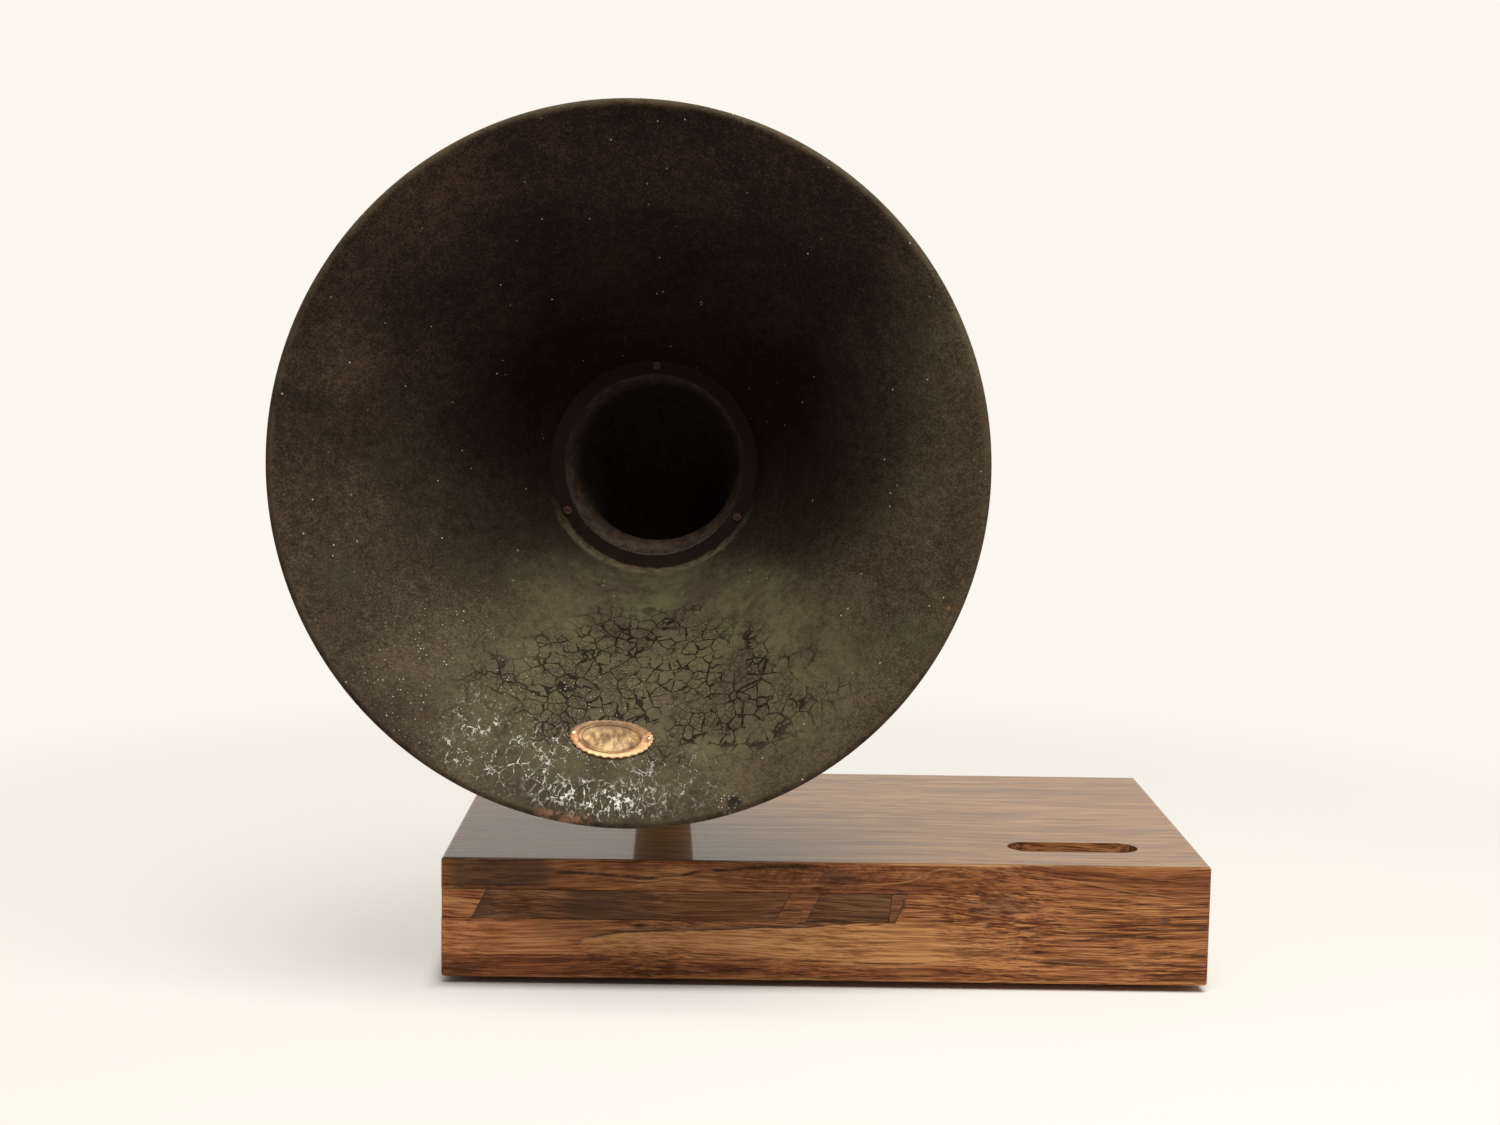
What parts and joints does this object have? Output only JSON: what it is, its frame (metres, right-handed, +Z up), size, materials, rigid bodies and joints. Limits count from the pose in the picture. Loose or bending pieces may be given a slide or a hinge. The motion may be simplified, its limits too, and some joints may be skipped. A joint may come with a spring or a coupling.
{
  "type": "horn loudspeaker",
  "caption": "Free-standing acoustic horn loudspeaker: a wide flared metal bell on a gooseneck that swivels in a varnished hardwood block with a slot for a phone.",
  "frame": {"origin": "on the floor under the middle of the whole object's bounding box", "axes": "+Z up, +X to the viewer's right seen from the front, the bell faces -Y"},
  "size_m": [0.4864, 0.301, 0.4577],
  "materials": {
    "block_wood": "gloss varnish over figured hardwood",
    "inlay_light": "gloss varnish",
    "inlay_dark": "gloss varnish",
    "cover_board": "plain sanded board",
    "screw_steel": "dull, slightly rusted",
    "foot_rubber": "matte",
    "bush_brass": "turned",
    "washer_felt": "felt",
    "neck_enamel": "worn dark brown enamel",
    "bell_paint": "aged, crazed dark paint",
    "rim_iron": "bare drawn wire",
    "badge_copper": "coppery brass, worn",
    "pin_brass": "bright heads"
  },
  "bodies": {
    "base": {"wood_block": "block_wood", "front_inlay_1": "inlay_light", "front_inlay_2": "inlay_dark", "front_inlay_3": "inlay_light", "front_inlay_4": "inlay_dark", "front_inlay_5": "inlay_light", "bottom_cover": "cover_board", "cover_screw_1": "screw_steel", "cover_screw_2": "screw_steel", "cover_screw_3": "screw_steel", "cover_screw_4": "screw_steel", "cover_screw_5": "screw_steel", "cover_screw_6": "screw_steel", "foot_front_left": "foot_rubber", "foot_front_right": "foot_rubber", "foot_rear_left": "foot_rubber", "foot_rear_right": "foot_rubber", "foot_screw_front_left": "screw_steel", "foot_screw_front_right": "screw_steel", "foot_screw_rear_left": "screw_steel", "foot_screw_rear_right": "screw_steel", "socket_bush": "bush_brass", "felt_washer": "washer_felt"},
    "horn": {"neck": "neck_enamel", "bell": "bell_paint", "rim_wire": "rim_iron", "flange_screw_1": "screw_steel", "flange_screw_2": "screw_steel", "flange_screw_3": "screw_steel", "badge_plate": "badge_copper", "badge_pin_left": "pin_brass", "badge_pin_right": "pin_brass"}
  },
  "joints": [
    {"name": "neck_swivel", "type": "hinge", "parent": "base", "child": "horn", "pos_m": [-0.05084, 0.07647, 0.0685], "axis": [0, 0, 1], "continuous": true}
  ]
}
